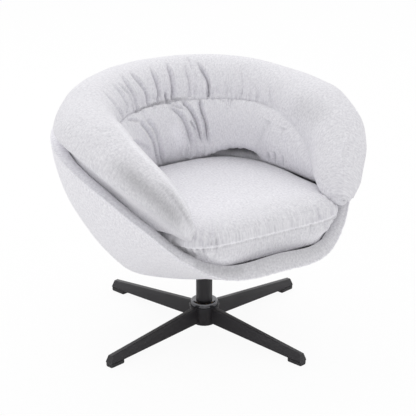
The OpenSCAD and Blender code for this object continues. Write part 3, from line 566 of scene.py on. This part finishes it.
def rollPoints(t, share):
    section = rollSection(np.abs(t), share)
    flatPoint = rollAxis(np.abs(t)) + rollOut(np.abs(t)) * section[..., :1]
    angle = np.arctan2(flatPoint[..., 0], -flatPoint[..., 1])
    leaning = np.maximum(section[..., 1] - bandHeight(angle), 0)
    limit = innerRadius(angle, section[..., 1]) + roll["lean"] * leaning ** 2 / (leaning + roll["heel"])
    radius = softLeast(np.linalg.norm(flatPoint, axis=-1), limit - 2 * roll["gap"], roll["softStep"])
    point = around(angle, radius, section[..., 1])
    point[..., 0] *= np.where(t < 0, -1, 1)
    return point


# the painted shadow in a fold's groove, darker for a deeper fold
def foldShade(depth):
    return 1 - min(max(roll["shadeGain"] * (depth - roll["shadeFrom"]), 0), roll["shadeMost"])


def buildRoll():
    s = np.linspace(-1, 1, roll["stations"])
    t = (np.sign(s) * mix(np.abs(s), np.sin(np.pi / 2 * np.abs(s)), roll["endDense"]))[:, None]
    turn = np.arange(roll["sectionPoints"]) / roll["sectionPoints"]
    share = (turn + roll["sideDense"] * np.sin(4 * np.pi * turn) / (2 * np.pi)
             - roll["innerDense"] * np.sin(2 * np.pi * turn)
             / (2 * np.pi))[None, ::-1]  # closer together on the inner side
    points = rollPoints(*np.broadcast_arrays(t, share))
    points = smoothAlong(points, roll["smoothing"], 1, True)
    middle = points.shape[1] // 2
    runAlong = lengthsAlong(points[:, middle:middle + 1], 0, False)
    runRound = lengthsAlong(points, 1, True)
    flat = np.stack(np.broadcast_arrays(runAlong, runRound), -1)
    tip = np.array([roll["tipX"], -roll["tipReach"], points[-1, :, 2].mean()])
    piece = gridPiece("back_and_arm_upholstery", points, flat, False, ((0, tip * [-1, 1, 1]), (-1, tip)))
    places, normals = readMesh(piece.data)
    grid = slice(0, points.shape[0] * points.shape[1])
    inner = lengthsAlong(points[:, :1], 0, False)  # along the crease
    inner = inner - inner[len(inner) // 2]
    away = np.minimum(runRound[:, :-1], runRound[:, -1:] - runRound[:, :-1])
    above = runRound[:, :-1] < runRound[:, -1:] / 2
    creased = ease((roll["creaseTo"] - np.abs(t)) / roll["fade"])
    lift = -roll["crease"] * creased * np.exp(-(away / roll["creaseWidth"]) ** roll["creasePower"])
    lift = lift + np.where(above, gathers(inner, away, *roll["upperGathers"]), 0) * creased
    lift = lift + np.where(above, 0, gathers(inner, away, *roll["lumbarGathers"])) * creased
    hem = np.abs(share - roll["hemShare"]) * roll["hemLength"]
    hemmed = ease((roll["hemTo"] - np.abs(t)) / roll["fade"])
    lift = lift + gathers(inner, hem, *roll["hemGathers"]) * hemmed
    places[grid] += normals[grid] * lift.reshape(-1, 1)
    places += normals * unevenness(places, *roll["swell"])[:, None]
    tree = treeOf(piece.data, places)
    paintedShading = np.ones(len(places))
    # painted shade on the arm face, in the crease and in the lumbar hollow, and painted light beside them
    for pixels, width, shade in roll["streaks"]:
        brush(paintedShading, places, photoLine(tree, pixels), width, shade, roll["streakFades"])
    for folds, fades in (("folds", roll["foldFades"]), ("lumbarFolds", roll["lumbarFades"])):
        for pixels, depth, width, lean in roll[folds]:
            line = photoLine(tree, pixels)
            pressFold(places, normals, line, roll["foldScale"] * depth, width, lean, fades)
            # a painted shadow along the fold
            brush(paintedShading, places, line, roll["shadeWidth"] * width, foldShade(depth), fades)
    leftSeam = photoLine(tree, roll["armSeam"])
    for side in (1, -1):
        seam = leftSeam * [side, 1, 1]
        for depth, width, lean, fades in roll["seamFolds"]:
            pressFold(places, normals, seam, depth, width, lean, fades)
        # a painted highlight along the seam
        brush(paintedShading, places, seam, *roll["seamHighlight"])
    setPaintedShading(piece.data, paintedShading)
    writeMesh(piece.data, places)
    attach(piece, "seat")
    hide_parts("back_arm_roll")
    return piece


# Loose seat cushion: crown, seam, boxing and underside
cushion = dict(
    halfWidth=0.262, length=0.515, middle=0.04955, bottom=0.2995, seam=0.3835,
    boxing=0.060, crown=0.050, bulge=0.005, tuck=0.004, frontShare=0.53,
    frontPower=5.5, backPower=3.4, crownPower=13.0, crownRound=0.42, lean=1.3,
    heel=0.010, gap=0.0012, softStep=0.006, armStep=0.004, angles=720,
    crownRings=120, crownStart=0.02, crownPoints=4000, crownDense=1.6,
    boxingRings=52, boxingDense=1.7, undersideRings=14, undersideInset=0.2,
    bottomShare=0.5, armPlaces=97,
    # gathers at the seam, strongest at the front corners: least share, then in degrees from the
    # front the strongest place, its width, the end and the fade before it
    corner=(0.8, 36, 10, 52, 14), crownGathers=(31, 260, 0.0024, 0.0042, 0.060),
    boxingGathers=(32, 240, 0.0022, 0.0036, 0.030), seamClear=0.005,
    ridge=(0.0013, -0.0008, 0.0018), swell=(33, 0.15, 0.0010), swellTo=0.03,
    # painted light: how light the crown is painted at its edge and middle, with the start and length of the
    # change;
    # the painted light that the boxing's lower part adds; a painted highlight on the seam and the painted
    # shadow under it
    crownPaintedLight=(0.98, 1.1, 0.04, 0.14), lowPaintedLight=(0.14, 0.020, 0.030),
    thread=(0.2, 0, 0.0022), seamPaintedShadow=(0.08, 0.006, 0.003),
    # a painted shadow under the arm's tip, drawn on the photo: points, width, shade
    streak=([(170, 240), (184, 250), (197, 258)], 0.016, 0.6))


def cushionRadius(angle):
    front = np.cos(angle) > 0
    share = np.where(front, cushion["frontShare"], 1 - cushion["frontShare"])
    return planRadius(angle, cushion["halfWidth"], cushion["length"] * share,
                      np.where(front, cushion["frontPower"], cushion["backPower"]))


def cushionAt(angle, radius, height):  # held inside the shell's lining
    x, y = radius * np.sin(angle), -cushion["middle"] - radius * np.cos(angle)
    b = np.arctan2(x, -y)
    above = np.maximum(height - bandHeight(b), 0)  # over the band it bulges out
    limit = innerRadius(b, height) + cushion["lean"] * above ** 2 / (above + cushion["heel"])
    held = softLeast(np.hypot(x, y), limit - 3 * cushion["gap"], cushion["softStep"])
    return around(b, held, height)


def armFloor(x, y):  # height of the arm's underside over a point
    places = np.arange(cushion["armPlaces"]) / (cushion["armPlaces"] - 1)
    axis, out = rollAxis(places), rollOut(places)
    p = np.stack([np.abs(x), y], -1)
    k = np.linalg.norm(p[..., None, :] - axis, axis=-1).argmin(-1)
    n = ((p - axis[k]) * out[k]).sum(-1)
    floors = []
    for rows, w, h in ((roll["upper"], roll["halfWidth"], roll["halfHeight"]),
                       (roll["lower"], roll["lumbarHalfWidth"], roll["lumbarHalfHeight"])):
        middle, half = oval(rows, places[k], w, h)
        u = (n - middle[..., 0]) / half[..., 0]
        under = middle[..., 1] - half[..., 1] * np.sqrt(np.maximum(1 - u * u, 0))
        floors.append(np.where(np.abs(u) < 1, under, 2 * roll["height"]))
    return np.minimum(*floors)


def buildCushion():
    angles = np.arange(cushion["angles"]) * 2 * np.pi / cushion["angles"]
    outline = cushionRadius(angles)
    rings = []
    shares = np.sin(np.linspace(cushion["crownStart"], 1, cushion["crownPoints"]) * np.pi / 2)
    rises = cushion["crown"] * (1 - shares ** cushion["crownPower"]) ** cushion["crownRound"]
    run = np.append(0, np.cumsum(np.hypot(np.diff(shares) * cushion["halfWidth"], np.diff(rises))))
    toSeam = (1 - np.linspace(0, 1, cushion["crownRings"])) ** cushion["crownDense"]  # closer at the seam
    at = run[-1] * (1 - toSeam)
    for s, rise in zip(np.interp(at, run, shares), np.interp(at, run, rises)):
        ring = cushionAt(angles, outline * s, cushion["seam"] + rise)
        ceiling = armFloor(ring[:, 0], ring[:, 1]) - 3 * cushion["gap"]
        ring[:, 2] = softLeast(ring[:, 2], ceiling, cushion["armStep"])
        rings.append(ring)
    for s in np.linspace(0, 1, cushion["boxingRings"])[1:] ** cushion["boxingDense"]:
        inset = cushion["tuck"] * s - cushion["bulge"] * math.sin(math.pi * s)
        rings.append(cushionAt(angles, outline - inset, cushion["seam"] - cushion["boxing"] * s))
    below = cushion["seam"] - cushion["boxing"] - cushion["bottom"]
    for s in np.linspace(0, 1, cushion["undersideRings"])[1:]:
        inset = (outline - cushion["tuck"]) * (1 - cushion["undersideInset"] * s)
        rings.append(cushionAt(angles, inset, cushion["bottom"] + below * (1 - math.sin(s * math.pi / 2))))
    rings.append(cushionAt(angles, outline * cushion["bottomShare"], cushion["bottom"]))
    points = np.array(rings)
    seamRow = cushion["crownRings"] - 1
    runOut = lengthsAlong(points, 0, False)
    runRound = lengthsAlong(points[seamRow:seamRow + 1], 1, True)
    flat = np.concatenate([points[:, :, :2], points[:, :1, :2]], 1)
    boxed = np.arange(len(rings)) > seamRow
    flat[boxed, :, 0] = runRound
    flat[boxed, :, 1] = runOut[boxed][:, :1]
    piece = gridPiece("seat_cushion_upholstery", points, flat, False,
                      ((0, (0, -cushion["middle"], cushion["seam"] + cushion["crown"])),
                       (-1, (0, -cushion["middle"], cushion["bottom"]))))
    places, normals = readMesh(piece.data)
    grid = slice(0, points.shape[0] * points.shape[1])
    along = runRound[:, :-1]
    away = runOut - runOut[seamRow]
    above = away < 0
    turned = fromFront(angles)
    least, strongest, width, end, fade = cushion["corner"]
    corner = (least + hump(turned, strongest, width)) * ease((end - turned) / fade)
    corner = corner * ease(np.abs(away) / cushion["seamClear"])
    lift = ridge(away, cushion["ridge"])
    lift = lift + np.where(above, gathers(along, -away, *cushion["crownGathers"]), 0) * corner
    lift = lift + np.where(above, 0, gathers(along, away, *cushion["boxingGathers"])) * corner
    paintedShading = np.ones(len(places))
    atEdge, atMiddle, start, length = cushion["crownPaintedLight"]
    added, lowStart, lowLength = cushion["lowPaintedLight"]
    # painted light on the crown's middle and the boxing's lower part, a painted highlight on the seam and a
    # painted shadow under it
    tone = mix(atEdge, atMiddle, ease((-away - start) / length)) + added * ease((away - lowStart) / lowLength)
    paintedShading[grid] = (tone + ridge(away, cushion["thread"]) - ridge(away, cushion["seamPaintedShadow"])).ravel()
    tree = treeOf(piece.data, places)
    # a painted shadow on the cushion's corner under the arm
    pixels, width, shade = cushion["streak"]
    brush(paintedShading, places, photoLine(tree, pixels), width, shade)
    setPaintedShading(piece.data, paintedShading)
    places[grid] += normals[grid] * lift.reshape(-1, 1)
    onTop = ease((places[:, 2] - cushion["seam"]) / cushion["swellTo"])
    places += normals * (unevenness(places, *cushion["swell"]) * onTop)[:, None]
    writeMesh(piece.data, places)
    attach(piece, "seat")
    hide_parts("seat_cushion")
    return piece


shellPiece = buildShell()
print("shell upholstery built")
rollPiece = buildRoll()
print("back and arm roll built")
cushionPiece = buildCushion()
print("seat cushion built")


# Materials
def fill(tree, node, inputs):  # each input gets a value, or a link from another node's output
    for key, given in inputs.items():
        if isinstance(given, bpy.types.NodeSocket):
            tree.links.new(given, node.inputs[key])
        else:
            node.inputs[key].default_value = given


def addNode(tree, kind, inputs=None, **settings):
    node = tree.nodes.new(kind)
    for name, value in settings.items():
        setattr(node, name, value)
    fill(tree, node, inputs or {})
    return node


def mathNode(tree, operation, *terms, clamp=False):
    node = addNode(tree, "ShaderNodeMath", dict(enumerate(terms)), operation=operation, use_clamp=clamp)
    return node.outputs[0]


def scaledNoise(tree, vector, scale, detail, roughness=0.5):
    stretch = addNode(tree, "ShaderNodeVectorMath", {0: vector, 1: scale}, operation="MULTIPLY")
    noise = addNode(tree, "ShaderNodeTexNoise", {"Vector": stretch.outputs[0], "Scale": 1.0,
                                                 "Detail": detail, "Roughness": roughness})
    return noise.outputs["Fac"]


def newGroup(name, sizes, outputs):  # it takes a vector and the named sizes
    group = bpy.data.node_groups.new(name, "ShaderNodeTree")
    group.interface.new_socket(name="Vector", in_out="INPUT", socket_type="NodeSocketVector")
    for socket, value in sizes.items():
        made = group.interface.new_socket(name=socket, in_out="INPUT", socket_type="NodeSocketFloat")
        made.default_value = value
    for socket in outputs:
        group.interface.new_socket(name=socket, in_out="OUTPUT", socket_type="NodeSocketFloat")
    given = addNode(group, "NodeGroupInput")
    return group, given, given.outputs["Vector"], addNode(group, "NodeGroupOutput")


# Plain weave with slubby threads, from the cloth's own map in metres. A noise has its scale along and
# across the cloth, and a bump its strength and height
linen = dict(
    light=(0.90, 0.893, 0.926), dark=(0.695, 0.687, 0.727), roughness=0.92, thread=0.0011,
    wobble=(160, 160, 0), upright=(290, 36, 0), level=(70, 460, 0), blotch=(210, 130, 0),
    noise=(3, 0.65), contrast=(0.40, 0.60), slub=(0.5, 0.0007), weave=(0.5, 0.0003))


def weaveGroup():
    group, given, cloth, out = newGroup("linenWeave", {"Thread": linen["thread"]}, ("Height", "Tone"))
    wobble = scaledNoise(group, cloth, linen["wobble"], 2)
    split = addNode(group, "ShaderNodeSeparateXYZ", {0: cloth})
    turns = []
    for axis in ("X", "Y"):
        count = mathNode(group, "DIVIDE", split.outputs[axis], given.outputs["Thread"])
        turns.append(mathNode(group, "MULTIPLY", mathNode(group, "ADD", count, wobble), math.pi))
    over = mathNode(group, "MULTIPLY", *(mathNode(group, "SINE", turn) for turn in turns))
    rounds = [mathNode(group, "ABSOLUTE", mathNode(group, "COSINE", turn)) for turn in turns]
    warp = mathNode(group, "MULTIPLY", rounds[0], mathNode(group, "ADD", over, 1.0))
    weft = mathNode(group, "MULTIPLY", rounds[1], mathNode(group, "SUBTRACT", 1.0, over))
    upright, level, blotch = (scaledNoise(group, cloth, linen[name], *linen["noise"])
                              for name in ("upright", "level", "blotch"))
    threads = mathNode(group, "MULTIPLY", mathNode(group, "ADD", upright, level), 0.5)
    fill(group, out, {"Height": mathNode(group, "MAXIMUM", warp, weft),
                      "Tone": mathNode(group, "MULTIPLY", mathNode(group, "ADD", threads, blotch), 0.5)})
    return group


# Worn edges, grain and smudges, from the object's own coordinates
wear = dict(
    radius=0.002, gain=6.0, patches=(90, 90, 90), grain=(900, 900, 900),
    smudge=(14, 14, 14))


def wearGroup():
    group, given, vector, out = newGroup("edgeWear", {"Radius": wear["radius"]}, ("Edge", "Grain", "Smudge"))
    bevel = addNode(group, "ShaderNodeBevel", {"Radius": given.outputs["Radius"]}, samples=4)
    geometry = addNode(group, "ShaderNodeNewGeometry")
    facing = addNode(group, "ShaderNodeVectorMath", {0: bevel.outputs[0], 1: geometry.outputs["Normal"]},
                     operation="DOT_PRODUCT")
    edge = mathNode(group, "SUBTRACT", 1.0, facing.outputs["Value"])
    edge = mathNode(group, "MULTIPLY", edge, wear["gain"], clamp=True)
    patches = scaledNoise(group, vector, wear["patches"], 3)
    fill(group, out, {"Edge": mathNode(group, "MULTIPLY", edge, patches, clamp=True),
                      "Grain": scaledNoise(group, vector, wear["grain"], 2),
                      "Smudge": scaledNoise(group, vector, wear["smudge"], 4)})
    return group


wood = dict(
    grain=(9, 240, 40), ply=0.0014, dark=(0.42, 0.27, 0.14), light=(0.66, 0.49, 0.30),
    bump=(0.2, 0.0003))


def woodGroup():
    group, _, vector, out = newGroup("plyGrain", {}, ("Grain", "Ply"))
    split = addNode(group, "ShaderNodeSeparateXYZ", {0: vector})
    layers = mathNode(group, "SINE", mathNode(group, "MULTIPLY", split.outputs["Z"], math.pi / wood["ply"]))
    layers = mathNode(group, "ADD", mathNode(group, "MULTIPLY", layers, 0.5), 0.5)
    fill(group, out, {"Grain": scaledNoise(group, vector, wood["grain"], 5, 0.6), "Ply": layers})
    return group


groups = {"weave": weaveGroup(), "wear": wearGroup(), "wood": woodGroup()}


def placeGroup(tree, name, vector):
    return addNode(tree, "ShaderNodeGroup", {"Vector": vector}, node_tree=groups[name])


def newMaterial(name, base, roughness, **sockets):
    material = bpy.data.materials.new(name)
    material.use_nodes = True
    shader = material.node_tree.nodes["Principled BSDF"]
    fill(material.node_tree, shader, {"Base Color": (*base, 1), "Roughness": roughness})
    fill(material.node_tree, shader, {name.replace("_", " "): value for name, value in sockets.items()})
    return material, material.node_tree, shader


def colourBetween(tree, factor, dark, light):
    ramp = addNode(tree, "ShaderNodeMix", {"Factor": factor, 6: (*dark, 1), 7: (*light, 1)},
                   data_type="RGBA")
    return ramp.outputs[2]


def valueBetween(tree, factor, low, high):
    spread = addNode(tree, "ShaderNodeMapRange", {"Value": factor, "From Min": 0.3, "From Max": 0.7,
                                                  "To Min": low, "To Max": high})
    return spread.outputs[0]


def bump(tree, height, size, before=None):
    node = addNode(tree, "ShaderNodeBump", {"Strength": size[0], "Distance": size[1], "Height": height})
    if before is not None:
        fill(tree, node, {"Normal": before})
    return node.outputs[0]


def objectVector(tree):
    return addNode(tree, "ShaderNodeTexCoord").outputs["Object"]


def linenFabric():
    material, tree, shader = newMaterial("linen_fabric", linen["light"], linen["roughness"],
                                         Sheen_Weight=0.25, Sheen_Roughness=0.45, Specular_IOR_Level=0.25)
    cloth = addNode(tree, "ShaderNodeUVMap", uv_map="cloth")
    weave = placeGroup(tree, "weave", cloth.outputs[0])
    low, high = linen["contrast"]
    contrast = addNode(tree, "ShaderNodeMapRange", {"Value": weave.outputs["Tone"], "From Min": low,
                                                    "From Max": high})
    # the painted light and shade scale the cloth's colour
    paintedShading = addNode(tree, "ShaderNodeAttribute", attribute_name="paintedShading")
    colour = colourBetween(tree, contrast.outputs[0], linen["dark"], linen["light"])
    shade = addNode(tree, "ShaderNodeVectorMath", {0: colour, "Scale": paintedShading.outputs["Fac"]},
                    operation="SCALE")
    slub = bump(tree, weave.outputs["Tone"], linen["slub"])
    fill(tree, shader, {"Base Color": shade.outputs[0],
                        "Normal": bump(tree, weave.outputs["Height"], linen["weave"], slub)})
    return material


def coated(name, base, worn, roughness, spread, grain):  # painted or moulded, with lighter worn edges
    material, tree, shader = newMaterial(name, base, roughness)
    edge, grains, smudge = placeGroup(tree, "wear", objectVector(tree)).outputs
    fill(tree, shader, {"Base Color": colourBetween(tree, edge, base, worn),
                        "Roughness": valueBetween(tree, smudge, roughness - spread[0], roughness + spread[1]),
                        "Normal": bump(tree, grains, grain)})
    return material


metal = dict(brushed=(60, 60, 2600), spread=0.08, darker=0.85, bump=(0.12, 0.0001))


def bareMetal(name, base, roughness):
    material, tree, shader = newMaterial(name, base, roughness, Metallic=1.0)
    vector = objectVector(tree)
    smudge = placeGroup(tree, "wear", vector).outputs["Smudge"]
    dark = [c * metal["darker"] for c in base]
    fill(tree, shader, {"Base Color": colourBetween(tree, smudge, dark, base),
                        "Roughness": valueBetween(tree, smudge, roughness, roughness + metal["spread"]),
                        "Normal": bump(tree, scaledNoise(tree, vector, metal["brushed"], 3), metal["bump"])})
    return material


def birchPlywood(name, base, roughness):
    material, tree, shader = newMaterial(name, base, roughness)
    grain, ply = placeGroup(tree, "wood", objectVector(tree)).outputs
    fill(tree, shader, {"Base Color": colourBetween(tree, grain, wood["dark"], wood["light"]),
                        "Normal": bump(tree, ply, wood["bump"])})
    return material


fibre = dict(scale=(700, 700, 700), bump=(0.5, 0.0005))


def looseCloth(name, dark, light, roughness):
    material, tree, shader = newMaterial(name, light, roughness)
    fibres = scaledNoise(tree, objectVector(tree), fibre["scale"], 4, 0.65)
    fill(tree, shader, {"Base Color": colourBetween(tree, fibres, dark, light),
                        "Normal": bump(tree, fibres, fibre["bump"])})
    return material


# slot, maker, then its colours, roughness, and for a coat how far that spreads and its grain
finishes = {name: make(name, *values) for name, make, *values in (
    ("satin_black_steel", coated, (0.016, 0.0145, 0.0175), (0.10, 0.10, 0.105), 0.42, (0.05, 0.08),
     (0.25, 0.0002)),
    ("polished_steel", bareMetal, (0.16, 0.16, 0.17), 0.1),
    ("bearing_steel", bareMetal, (0.55, 0.55, 0.57), 0.25),
    ("zinc_steel", bareMetal, (0.58, 0.60, 0.64), 0.32),
    ("black_plastic", coated, (0.018, 0.017, 0.019), (0.0488, 0.0472, 0.0504), 0.5, (0.04, 0.06),
     (0.35, 0.0003)),
    ("white_nylon", coated, (0.78, 0.77, 0.72), (1, 1, 1), 0.4, (0.04, 0.06), (0.35, 0.0003)),
    ("plywood", birchPlywood, (0.55, 0.38, 0.22), 0.6),
    ("dust_cloth", looseCloth, (0.012, 0.012, 0.014), (0.04, 0.04, 0.045), 0.9),
    ("seat_foam", looseCloth, (0.10, 0.10, 0.105), (0.17, 0.17, 0.175), 0.95))}
finishes["linen_fabric"] = linenFabric()


def dressNodes():
    for entry in frame["record"]["subparts"]:
        slots = nodes[entry["node"]].data.materials
        slots.clear()
        slots.append(finishes[entry["material_slot"]])
    for piece in (shellPiece, rollPiece, cushionPiece):
        piece.data.materials.append(finishes["linen_fabric"])


print("materials made:", len(finishes))

# Stage
studio = dict(
    floorSize=40.0, floorColour=(0.9, 0.9, 0.9, 1), floorGlow=0.93, bounce=0.12,
    worldLight=0.90, lamps=dict(back=dict(energy=24.0, size=2.4, place=(0.6, 2.0, 2.6))))


def makeFloor():
    bpy.ops.object.select_all(action="DESELECT")
    bpy.ops.mesh.primitive_plane_add(size=studio["floorSize"])
    floor = bpy.context.object
    floor.name = "floor"
    material = bpy.data.materials.new("studioFloor")
    material.use_nodes = True
    tree = material.node_tree
    tree.nodes.clear()
    paint = addNode(tree, "ShaderNodeBsdfDiffuse", {"Color": studio["floorColour"]})
    glow = addNode(tree, "ShaderNodeEmission")
    seen = addNode(tree, "ShaderNodeLightPath").outputs["Is Camera Ray"]
    share = mathNode(tree, "MULTIPLY", mathNode(tree, "MAXIMUM", seen, studio["bounce"]), studio["floorGlow"])
    blend = addNode(tree, "ShaderNodeMixShader", {0: share, 1: paint.outputs[0], 2: glow.outputs[0]})
    addNode(tree, "ShaderNodeOutputMaterial", {0: blend.outputs[0]})
    floor.data.materials.append(material)


def makeLamps():
    for name, lamp in studio["lamps"].items():
        data = bpy.data.lights.new(name, "AREA")
        data.energy, data.size = lamp["energy"], lamp["size"]
        light = bpy.data.objects.new(name, data)
        light.location = lamp["place"]
        toChair = Vector((0, 0, photo["aimHeight"])) - light.location
        light.rotation_euler = toChair.to_track_quat("-Z", "Y").to_euler()
        bpy.context.scene.collection.objects.link(light)


def makeWorld():
    world = bpy.data.worlds.new("studio")
    bpy.context.scene.world = world
    world.use_nodes = True
    tree = world.node_tree
    tree.nodes.clear()
    path = addNode(tree, "ShaderNodeLightPath")
    seen = mathNode(tree, "MAXIMUM", path.outputs["Is Camera Ray"], path.outputs["Is Glossy Ray"])
    seen = mathNode(tree, "MAXIMUM", seen, path.outputs["Is Transmission Ray"])
    level = addNode(tree, "ShaderNodeMapRange", {"Value": seen, "To Min": studio["worldLight"],
                                                 "To Max": 1.0})
    sky = addNode(tree, "ShaderNodeBackground", {"Color": (1, 1, 1, 1), "Strength": level.outputs[0]})
    addNode(tree, "ShaderNodeOutputWorld", {0: sky.outputs[0]})


dressNodes()
makeFloor()
makeLamps()
makeWorld()
bpy.context.scene.view_settings.view_transform = "Standard"
print("stage ready")
